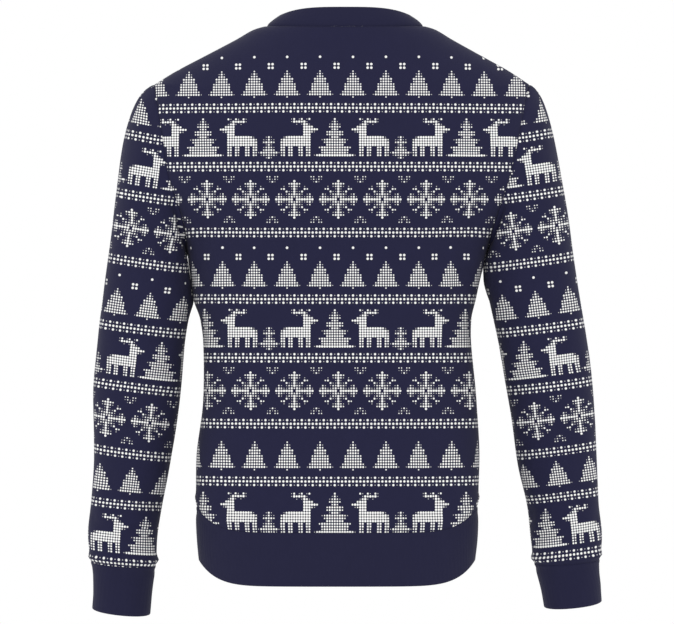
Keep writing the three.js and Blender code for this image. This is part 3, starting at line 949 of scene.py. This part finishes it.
def panel_places(grid, face):
    """Across and up on a panel, level with the eye where the cloth is upright."""
    steps = np.diff(grid, axis=1)
    widths = laid(steps[..., 0], np.linalg.norm(steps, axis=2))
    middle = grid.shape[1] // 2
    across = grid[:, middle:middle + 1, 0] - face * summed_from(widths, middle)
    rises = np.diff(grid, axis=0)
    heights = at_least(rises[..., 2], np.linalg.norm(rises, axis=2), TURNED_UP)
    low = grid.shape[0] // 4
    up = grid[low][:, 2] + summed_from(heights.T, low).T
    return np.stack([across, up], axis=-1)


def whole_turns(angle):
    """The whole turns nearest to an angle, in radians."""
    return round(angle / (2 * math.pi)) * 2 * math.pi


def sleeve_places(grid, side, cap_rows):
    """Across and up on a sleeve, from the middle of its back."""
    ring = cap_rows - 1
    back = (grid.shape[1] - 1) // 4
    steps = np.diff(grid, axis=1)
    across = side * summed_from(laid(steps[..., 0], np.linalg.norm(steps, axis=2)), back)
    first = SLEEVE[0]
    middle, half, height = ring_middle(first, side)
    climb_at, climbs = np.array(SLEEVE_CLIMB[side]).T
    climb = np.interp(-grid[..., 2], climb_at, climbs)
    out = side * grid[..., 0] - middle
    behind = grid[..., 1] - first.middle_y
    level = grid[..., 2] - climb * out + first.lean * behind
    axis = -first.rise * (level - height)
    turn = np.unwrap(np.arctan2(behind / first.half_depth, (out - axis) / half), axis=1)
    known = turn[ring] - turn[ring][back]
    # On the cap a point has the place that lies the same way round on the first full ring
    for i in range(ring):
        wanted = turn[i] - turn[i][back]
        offset = turn[i][back] - turn[ring][back]
        offset -= whole_turns(offset)
        across[i] = np.interp(-(wanted + offset), -known, across[ring])
    # Where the cap faces front or back, the pattern is flat
    normals = grid_normals(grid[:ring], True, side)
    facing = normals[..., 1] / np.maximum(np.hypot(normals[..., 0], normals[..., 1]), 1e-6)
    across[:ring] += flatness(facing) * (side * (out - axis)[:ring] - across[:ring])
    rises = -np.diff(grid[:cap_rows], axis=0)
    lengths = np.linalg.norm(rises, axis=2)
    heights = at_least(np.diff(level[:cap_rows], axis=0), lengths, TURNED_UP)
    up = np.empty(grid.shape[:2])
    for i in range(ring, grid.shape[0]):
        out = side * (grid[i, :, 0] - grid[i, back, 0])
        lean = (grid[i, :, 1] - grid[i, back, 1]) * first.lean
        up[i] = grid[i, :, 2] - climb[i] * out + lean
    up[:cap_rows] = up[ring] - summed_from(heights.T, ring).T
    across_at, places = np.array(SLEEVE_ACROSS[side]).T
    down_at, downs = np.array(SLEEVE_DOWN[side]).T
    depth = -up
    beyond = np.minimum(depth - down_at[0], 0) + np.maximum(depth - down_at[-1], 0)
    down = np.interp(depth, down_at, downs) + beyond
    across = SLEEVE_WAY[side] * across / SLEEVE_WIDER + np.interp(depth, across_at, places)
    return np.stack([across, -down], axis=-1)


def band_places(grid):
    """Round and along a plain band."""
    widths = np.linalg.norm(np.diff(grid, axis=1), axis=2)
    heights = np.linalg.norm(np.diff(grid, axis=0), axis=2)
    across = summed_from(widths, 0)
    up = summed_from(heights.T, 0).T
    return np.stack([across, up], axis=-1)


# Meshes


@functools.cache
def cloth_forms():
    """The form of every piece, folded and with its edges turned into the seams."""
    forms = {}
    for name, face in (("back_panel", 1), ("front_panel", -1)):
        smooth = panel_grid(face, *PANEL_GRID)
        edges = ("first", "last", "left", "right")
        forms[name] = Form(smooth, panel_places(smooth, face), False, 1, edges)
    for end, side in (("left", 1), ("right", -1)):
        smooth, cap_rows = sleeve_grid(side, *SLEEVE_GRID)
        places = sleeve_places(smooth, side, cap_rows)
        forms[f"sleeve_{end}"] = Form(smooth, places, True, side, ("first", "last"))
        smooth = cuff_grid(side, *CUFF_GRID)
        forms[f"cuff_{end}"] = Form(smooth, band_places(smooth), True, side, ("first",))
    smooth = collar_grid(*COLLAR_GRID)
    forms["collar"] = Form(smooth, band_places(smooth), True, 1, ("first",))
    smooth = hem_band_grid(*HEM_BAND_GRID)
    forms["hem_band"] = Form(smooth, band_places(smooth), True, 1, ("last",))
    shared = seam_directions(forms)
    for name, form in forms.items():
        form = form._replace(grid=folded(name, form.grid, form.closed, form.turn))
        forms[name] = form._replace(grid=sewn(name, form, shared))
    return forms


def cloth_object(name):
    """A mesh on a piece's form, with a UV map that says where on the cloth a point lies."""
    grid, places, closed, turn, _ = cloth_forms()[name]
    name = f"{name}_cloth"
    rows, columns = grid.shape[:2]
    form = bmesh.new()
    uv = form.loops.layers.uv.new("cloth")
    bmesh.ops.create_grid(form, x_segments=columns - 1, y_segments=rows - 1, size=0.5)
    cell = {}
    for vert in form.verts:
        j = round((vert.co.x + 0.5) * (columns - 1))
        i = round((vert.co.y + 0.5) * (rows - 1))
        cell[vert] = (i, j)
    for vert, (i, j) in cell.items():
        vert.co = Vector(grid[i, j]) * MM
    for face in form.faces:
        face.smooth = True
        for loop in face.loops:
            i, j = cell[loop.vert]
            loop[uv].uv = places[i, j] * MM
    if turn < 0:
        bmesh.ops.reverse_faces(form, faces=form.faces)
    if closed:
        ends = [vert for vert, (_, j) in cell.items() if j in (0, columns - 1)]
        bmesh.ops.remove_doubles(form, verts=ends, dist=1e-6)
    mesh = bpy.data.meshes.new(name)
    form.to_mesh(mesh)
    form.free()
    piece = bpy.data.objects.new(name, mesh)
    bpy.context.scene.collection.objects.link(piece)
    return piece


def give_wall(piece, thickness, materials, soft_edge=False):
    """A wall to the inside, where the second material is. A piece without a soft edge is
    sewn all round, and its edges take that material too."""
    for material in materials:
        piece.data.materials.append(material)
    wall = piece.modifiers.new("Wall", "SOLIDIFY")
    wall.thickness = thickness * MM
    wall.offset = -1
    wall.use_even_offset = False
    wall.material_offset = 1
    wall.material_offset_rim = 0 if soft_edge else 1
    if not soft_edge:
        return
    edge = piece.modifiers.new("Soft edge", "BEVEL")
    edge.width = EDGE_SOFTNESS * MM
    edge.segments = 2
    edge.limit_method = "ANGLE"
    edge.angle_limit = EDGE_TURN


def make_piece(name, slot, thickness):
    """One piece of stretched cloth, in the place of the solid of its name. A band has a
    soft free edge."""
    piece = cloth_object(name)
    materials = [cloth_material(material) for material in SLOT_MATERIALS[slot]]
    give_wall(piece, thickness, materials, soft_edge=slot == "band_knit")
    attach(piece, "root")
    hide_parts(name)


# Materials


def add(tree, kind, inputs=(), **settings):
    """Adds a node with its settings and links, and returns its first output."""
    node = tree.nodes.new(kind)
    for name, value in settings.items():
        setattr(node, name, value)
    named = inputs if isinstance(inputs, dict) else dict(enumerate(inputs))
    for name, value in named.items():
        if isinstance(value, bpy.types.NodeSocket):
            tree.links.new(value, node.inputs[name])
        else:
            node.inputs[name].default_value = value
    return node.outputs[0]


def set_stops(ramp, stops):
    """Gives a ramp colours that jump from one to the next."""
    ramp.interpolation = "CONSTANT"
    while len(ramp.elements) < len(stops):
        ramp.elements.new(1)
    for element, (place, colour) in zip(ramp.elements, sorted(stops)):
        element.position = place
        element.color = (*colour, 1)


def row_colour(line):
    """A chart's row as three numbers of nine digits, with half a unit for rounding."""
    digits = [MARKS[mark] for mark in line.ljust(3 * DIGITS)]
    thirds = [digits[k * DIGITS:(k + 1) * DIGITS] for k in range(3)]
    numbers = [sum(d * BASE**k for k, d in enumerate(third)) for third in thirds]
    return [(number + 0.5) / BASE**DIGITS for number in numbers]


def nearest_column(tree, across, motif):
    """The chart's nearest column, counted out from a motif's middle, and the way from it."""
    inputs = (across, 1 / motif.width, -motif.across / motif.width)
    steps = add(tree, MATH, inputs, operation="MULTIPLY_ADD")
    steps = add(tree, MATH, (steps, motif.repeat / 2), operation="PINGPONG")
    column = add(tree, MATH, (steps,), operation="ROUND")
    return column, add(tree, MATH, (steps, column), operation="SUBTRACT")


def nearest_row(tree, down, motif):
    """The chart's nearest row, counted down from its first, and the way from it."""
    length = len(motif.chart) * motif.height
    starts = sorted([(s, motif.height) for s in motif.starts]
                    + [(s, motif.height * TALL) for s in motif.tall_starts])
    stops = []
    for k, (start, height) in enumerate(starts):
        place = 0 if k == 0 else (starts[k - 1][0] + length + start) / 2 / PATTERN_LENGTH
        stops.append((place, (start / PATTERN_LENGTH, height / HEIGHT_UNIT, 0)))
    place = add(tree, MATH, (down, 1 / PATTERN_LENGTH), operation="MULTIPLY")
    stripe = add(tree, "ShaderNodeValToRGB", (place,))
    set_stops(stripe.node.color_ramp, stops)
    parts = add(tree, "ShaderNodeSeparateColor", (stripe,)).node.outputs
    rows = add(tree, MATH, (place, parts[0]), operation="SUBTRACT")
    rows = add(tree, MATH, (rows, PATTERN_LENGTH / HEIGHT_UNIT), operation="MULTIPLY")
    rows = add(tree, MATH, (rows, parts[1]), operation="DIVIDE")
    row = add(tree, MATH, (rows,), operation="ROUND")
    return row, add(tree, MATH, (rows, row), operation="SUBTRACT")


def mark_at(tree, column, row, chart):
    """The chart's mark at a column and row: one digit of the colour that its row has in a
    ramp. The ramp's first place is empty, and a row is looked up in the middle of its own."""
    inputs = (row, 1 / RAMP_PLACES, 1.5 / RAMP_PLACES)
    lookup = add(tree, MATH, inputs, operation="MULTIPLY_ADD")
    empty = (0, 0, 0)
    stops = [(0, empty), ((len(chart) + 1) / RAMP_PLACES, empty)]
    stops += [((k + 1) / RAMP_PLACES, row_colour(line)) for k, line in enumerate(chart)]
    colours = add(tree, "ShaderNodeValToRGB", (lookup,))
    set_stops(colours.node.color_ramp, stops)
    thirds = add(tree, "ShaderNodeSeparateColor", (colours,)).node.outputs
    digits = thirds[0]
    if max(map(len, chart)) > DIGITS:
        for k in (1, 2):
            beyond = add(tree, MATH, (column, k * DIGITS - 0.5), operation="GREATER_THAN")
            digits = add(tree, MIX, {0: beyond, 2: digits, 3: thirds[k]})
    place = add(tree, MATH, (column, DIGITS), operation="MODULO")
    shift = add(tree, MATH, (DIGITS, place), operation="SUBTRACT")
    scale = add(tree, MATH, (BASE, shift), operation="POWER")
    digit = add(tree, MATH, (digits, scale), operation="MULTIPLY")
    digit = add(tree, MATH, (digit,), operation="FLOOR")
    return add(tree, MATH, (digit, BASE), operation="MODULO")


def motif_dots(tree, across, down, motif):
    """White dots of one motif, as a number from 0 to 1."""
    column, beside = nearest_column(tree, across, motif)
    row, below = nearest_row(tree, down, motif)
    mark = mark_at(tree, column, row, motif.chart)
    beside = add(tree, MATH, (beside, beside), operation="MULTIPLY")
    distance = add(tree, MATH, (below, below, beside), operation="MULTIPLY_ADD")
    size = add(tree, MATH, (mark, DOT_GROWTH), operation="POWER")
    size = add(tree, MATH, (size, DOT_SIZE * motif.weight), operation="MULTIPLY")
    inside = add(tree, MATH, (size, distance), operation="SUBTRACT")
    return add(tree, MATH, (inside, DOT_EDGE), operation="MULTIPLY", use_clamp=True)


def cloth_place(tree):
    """Across and down on the cloth, in millimetres."""
    place = add(tree, "ShaderNodeUVMap", uv_map="cloth")
    parts = add(tree, "ShaderNodeSeparateXYZ", (place,)).node.outputs
    across = add(tree, MATH, (parts[0], 1 / MM), operation="MULTIPLY")
    down = add(tree, MATH, (parts[1], -1 / MM), operation="MULTIPLY")
    return across, down


def stitch_height(tree, across, down, width, height):
    """Plain knitting: each stitch a V of two leaning strands."""
    strand = add(tree, MATH, (across, width), operation="DIVIDE")
    strand = add(tree, MATH, (strand, 0.5), operation="PINGPONG")
    beside = add(tree, MATH, (strand, 4, -1), operation="MULTIPLY_ADD")
    beside = add(tree, MATH, (beside, beside), operation="MULTIPLY")
    beside = add(tree, MATH, (1, beside), operation="SUBTRACT")
    lean = add(tree, MATH, (strand, STRAND_LEAN), operation="MULTIPLY")
    along = add(tree, MATH, (down, 1 / height, lean), operation="MULTIPLY_ADD")
    along = add(tree, MATH, (along,), operation="FRACT")
    along = add(tree, MATH, (along, 2, -1), operation="MULTIPLY_ADD")
    along = add(tree, MATH, (along, along), operation="MULTIPLY")
    along = add(tree, MATH, (along, -STRAND_HOLLOW, 1), operation="MULTIPLY_ADD")
    round_strand = add(tree, MATH, (beside, along), operation="MULTIPLY")
    return add(tree, MATH, (round_strand,), operation="SQRT")


def cloth_material(name):
    """A matt cloth with a soft sheen, made the first time that it is needed."""
    if name in bpy.data.materials:
        return bpy.data.materials[name]
    material = bpy.data.materials.new(name)
    material.use_nodes = True
    tree = material.node_tree
    shader = tree.nodes["Principled BSDF"]
    colour, height, roughness = KNITS[name](tree)
    tree.links.new(colour, shader.inputs["Base Color"])
    shader.inputs["Roughness"].default_value = roughness
    relief = bpy.context.scene.sweater.stitch_relief
    inputs = {"Height": height, "Strength": relief, "Distance": STITCH_DEPTH * MM}
    bump = add(tree, "ShaderNodeBump", inputs)
    tree.links.new(bump, shader.inputs["Normal"])
    shader.inputs["Sheen Weight"].default_value = SHEEN
    shader.inputs["Sheen Roughness"].default_value = SHEEN_ROUGHNESS
    shader.inputs["Specular IOR Level"].default_value = GLOSS
    return material


def shaded_yarn(tree, colour, amount):
    """A yarn's colour, slightly uneven from place to place as dyed yarn is."""
    place = add(tree, "ShaderNodeTexCoord").node.outputs["Object"]
    cloud = add(tree, "ShaderNodeTexNoise", {"Vector": place, "Scale": YARN_CLOUDS, "Detail": 3})
    shade = add(tree, MATH, (cloud, amount, 1 - amount / 2), operation="MULTIPLY_ADD")
    shade = add(tree, "ShaderNodeCombineColor", (shade, shade, shade))
    inputs = {0: 1, 6: (*colour, 1), 7: shade}
    mixed = add(tree, MIX, inputs, data_type="RGBA", blend_type="MULTIPLY")
    return mixed.node.outputs[2]


def patterned_knit(tree):
    """Fine acrylic and wool jersey: matt navy yarn, with dots of white yarn in it."""
    settings = bpy.context.scene.sweater
    across, down = cloth_place(tree)
    dots = motif_dots(tree, across, down, MOTIFS[0])
    for motif in MOTIFS[1:]:
        found = motif_dots(tree, across, down, motif)
        dots = add(tree, MATH, (dots, found), operation="MAXIMUM")
    navy = shaded_yarn(tree, settings.navy_yarn, JERSEY_SHADE)
    inputs = {0: dots, 6: navy, 7: (*settings.white_yarn, 1)}
    colour = add(tree, MIX, inputs, data_type="RGBA").node.outputs[2]
    height = stitch_height(tree, across, down, settings.stitch_width, settings.stitch_height)
    return colour, height, JERSEY_ROUGHNESS


def band_knit(tree):
    """The same yarn in a tight fine rib: plain navy, with a faint upright grain."""
    settings = bpy.context.scene.sweater
    across, down = cloth_place(tree)
    stitches = stitch_height(tree, across, down, settings.stitch_width, settings.stitch_height)
    ribs = add(tree, MATH, (across, settings.stitch_width * 2), operation="DIVIDE")
    ribs = add(tree, MATH, (ribs, 0.5), operation="PINGPONG")
    ribs = add(tree, MATH, (ribs, 2), operation="MULTIPLY")
    height = add(tree, MATH, (stitches, 0.5, ribs), operation="MULTIPLY_ADD")
    return shaded_yarn(tree, settings.band_yarn, RIB_SHADE), height, RIB_ROUGHNESS


def wrong_side(tree):
    """The inside of the jersey: rows of small arcs, in the navy yarn alone."""
    settings = bpy.context.scene.sweater
    across, down = cloth_place(tree)
    height = stitch_height(tree, down, across, settings.stitch_height, settings.stitch_width)
    navy = shaded_yarn(tree, settings.navy_yarn, JERSEY_SHADE)
    return navy, height, WRONG_SIDE_ROUGHNESS


# Each gives the colour, height and roughness of its knit
KNITS = {
    "navy_and_white_jersey": patterned_knit,
    "navy_fine_rib": band_knit,
    "jersey_wrong_side": wrong_side,
}
# The outside and the inside of a piece, by its slot
SLOT_MATERIALS = {
    "patterned_knit": ("navy_and_white_jersey", "jersey_wrong_side"),
    "band_knit": ("navy_fine_rib", "jersey_wrong_side"),
}


def floor_material():
    """Pale matt plaster: near white, with very faint clouds."""
    plaster = bpy.data.materials.new("pale_matt_floor")
    plaster.use_nodes = True
    tree = plaster.node_tree
    shader = tree.nodes["Principled BSDF"]
    place = add(tree, "ShaderNodeTexCoord").node.outputs["Object"]
    cloud = add(tree, "ShaderNodeTexNoise", {"Vector": place, "Scale": 2})
    tone = add(tree, MATH, (cloud, FLOOR_SHADE, FLOOR_TONE), operation="MULTIPLY_ADD")
    pale = add(tree, "ShaderNodeCombineColor", (tone, tone, tone))
    tree.links.new(pale, shader.inputs["Base Color"])
    shader.inputs["Roughness"].default_value = 0.9
    return plaster


# The stage


def place_camera(settings):
    """A camera level with the sweater's middle and square on to its back."""
    view = bpy.data.cameras.new("Camera")
    width = PICTURE_WIDTH * settings.pixel * MM
    view.lens = view.sensor_width * settings.camera_distance / width
    view.clip_end = 60
    camera = bpy.data.objects.new("Camera", view)
    camera.location = VIEW_MIDDLE + Vector((0, settings.camera_distance, 0))
    camera.rotation_euler = (math.pi / 2, 0, math.pi)
    bpy.context.scene.collection.objects.link(camera)
    bpy.context.scene.camera = camera


def place_lamps():
    """Soft lamps, aimed at the sweater's middle."""
    for name, place, size, power in LAMPS:
        lamp = bpy.data.lights.new(name, "AREA")
        lamp.shape = "RECTANGLE"
        lamp.size, lamp.size_y = size
        lamp.energy = power
        holder = bpy.data.objects.new(name, lamp)
        holder.location = place
        look = VIEW_MIDDLE - holder.location
        holder.rotation_euler = look.to_track_quat("-Z", "Y").to_euler()
        bpy.context.scene.collection.objects.link(holder)


def light_all_round():
    """A white world, shown as it is."""
    world = bpy.data.worlds.new("Studio")
    world.use_nodes = True
    world.node_tree.nodes["Background"].inputs[0].default_value = (1, 1, 1, 1)
    world.node_tree.nodes["Background"].inputs[1].default_value = WORLD_LIGHT
    bpy.context.scene.world = world
    bpy.context.scene.view_settings.view_transform = "Standard"


def lay_floor(settings):
    """A round floor below the sweater."""
    form = bmesh.new()
    bmesh.ops.create_circle(form, cap_ends=True, segments=96, radius=FLOOR_RADIUS)
    mesh = bpy.data.meshes.new("floor")
    form.to_mesh(mesh)
    form.free()
    mesh.transform(Matrix.Translation((0, 0, settings.floor_height)))
    mesh.materials.append(floor_material())
    floor = bpy.data.objects.new("floor", mesh)
    bpy.context.scene.collection.objects.link(floor)


class SweaterSettings(bpy.types.PropertyGroup):
    """Sizes and colours of the sweater's cloth."""

    navy_yarn: bpy.props.FloatVectorProperty(
        name="Navy yarn", description="Ground colour of the patterned pieces",
        subtype="COLOR", min=0, max=1, default=linear("#23233e"))
    band_yarn: bpy.props.FloatVectorProperty(
        name="Band yarn", description="Colour of collar, cuffs and hem band",
        subtype="COLOR", min=0, max=1, default=linear("#22223c"))
    white_yarn: bpy.props.FloatVectorProperty(
        name="White yarn", description="Colour of the pattern",
        subtype="COLOR", min=0, max=1, default=linear("#f6f6f4"))
    wall: bpy.props.FloatProperty(
        name="Cloth thickness", description="Thickness of the knitted pieces in millimetres",
        default=2, min=1, max=3)
    collar_wall: bpy.props.FloatProperty(
        name="Collar thickness", description="Thickness of the collar in millimetres",
        default=2.6, min=1, max=4)
    stitch_width: bpy.props.FloatProperty(
        name="Stitch width",
        description="Width of a stitch in millimetres, coarser than real so that it shows",
        default=3.145, min=0.5, max=8)
    stitch_height: bpy.props.FloatProperty(
        name="Stitch height", description="Height of a stitch in millimetres",
        default=2.4, min=0.5, max=8)
    stitch_relief: bpy.props.FloatProperty(
        name="Stitch relief", description="How strongly the stitches stand out",
        subtype="FACTOR", default=0.3, min=0, max=1)


class SweaterStageSettings(bpy.types.PropertyGroup):
    """Camera, light and floor."""

    camera_distance: bpy.props.FloatProperty(
        name="Camera distance", description="From the camera to the sweater's middle",
        unit="LENGTH", default=12, min=2, max=30)
    pixel: bpy.props.FloatProperty(
        name="Pixel size", description="Millimetres that one pixel of the picture covers",
        default=1.25, min=0.1, max=10)
    floor_height: bpy.props.FloatProperty(
        name="Floor height", description="Height of the floor below the neck",
        unit="LENGTH", default=-1.0, min=-3, max=0)


class SWEATER_OT_body(bpy.types.Operator):
    """Back and front panel of patterned jersey"""

    bl_idname = "sweater.body"
    bl_label = "Body panels"

    def execute(self, context):
        wall = context.scene.sweater.wall
        for name in ("back_panel", "front_panel"):
            make_piece(name, "patterned_knit", wall)
        return {"FINISHED"}


class SWEATER_OT_sleeves(bpy.types.Operator):
    """Set-in sleeves of patterned jersey"""

    bl_idname = "sweater.sleeves"
    bl_label = "Sleeves"

    def execute(self, context):
        wall = context.scene.sweater.wall
        for name in ("sleeve_left", "sleeve_right"):
            make_piece(name, "patterned_knit", wall)
        return {"FINISHED"}


class SWEATER_OT_cuffs(bpy.types.Operator):
    """Plain rib cuffs"""

    bl_idname = "sweater.cuffs"
    bl_label = "Cuffs"

    def execute(self, context):
        wall = context.scene.sweater.wall
        for name in ("cuff_left", "cuff_right"):
            make_piece(name, "band_knit", wall)
        return {"FINISHED"}


class SWEATER_OT_collar(bpy.types.Operator):
    """Plain rib crew neck collar"""

    bl_idname = "sweater.collar"
    bl_label = "Collar"

    def execute(self, context):
        wall = context.scene.sweater.collar_wall
        make_piece("collar", "band_knit", wall)
        return {"FINISHED"}


class SWEATER_OT_hem_band(bpy.types.Operator):
    """Plain rib band round the hem"""

    bl_idname = "sweater.hem_band"
    bl_label = "Hem band"

    def execute(self, context):
        make_piece("hem_band", "band_knit", context.scene.sweater.wall)
        return {"FINISHED"}


class SWEATER_OT_stage(bpy.types.Operator):
    """Camera, soft studio light and a pale floor"""

    bl_idname = "sweater.stage"
    bl_label = "Stage"

    def execute(self, context):
        settings = context.scene.sweater_stage
        place_camera(settings)
        place_lamps()
        light_all_round()
        lay_floor(settings)
        return {"FINISHED"}


class SWEATER_PT_panel(bpy.types.Panel):
    """Lists the sweater's settings and pieces"""

    bl_label = "Christmas sweater"
    bl_idname = "SWEATER_PT_panel"
    bl_space_type = "VIEW_3D"
    bl_region_type = "UI"
    bl_category = "Sweater"

    def draw(self, context):
        layout = self.layout
        for group in (context.scene.sweater, context.scene.sweater_stage):
            for name in group.__annotations__:
                layout.prop(group, name)
        for operator in OPERATORS:
            layout.operator(operator.bl_idname)


OPERATORS = (
    SWEATER_OT_body,
    SWEATER_OT_sleeves,
    SWEATER_OT_cuffs,
    SWEATER_OT_collar,
    SWEATER_OT_hem_band,
    SWEATER_OT_stage,
)
CLASSES = (SweaterSettings, SweaterStageSettings, *OPERATORS, SWEATER_PT_panel)


def register():
    for kind in CLASSES:
        bpy.utils.register_class(kind)
    bpy.types.Scene.sweater = bpy.props.PointerProperty(type=SweaterSettings)
    bpy.types.Scene.sweater_stage = bpy.props.PointerProperty(type=SweaterStageSettings)


def unregister():
    del bpy.types.Scene.sweater_stage
    del bpy.types.Scene.sweater
    for kind in reversed(CLASSES):
        bpy.utils.unregister_class(kind)


def main():
    register()
    bpy.ops.sweater.body()
    bpy.ops.sweater.sleeves()
    bpy.ops.sweater.cuffs()
    bpy.ops.sweater.collar()
    bpy.ops.sweater.hem_band()
    bpy.ops.sweater.stage()


if __name__ == "__main__":
    main()
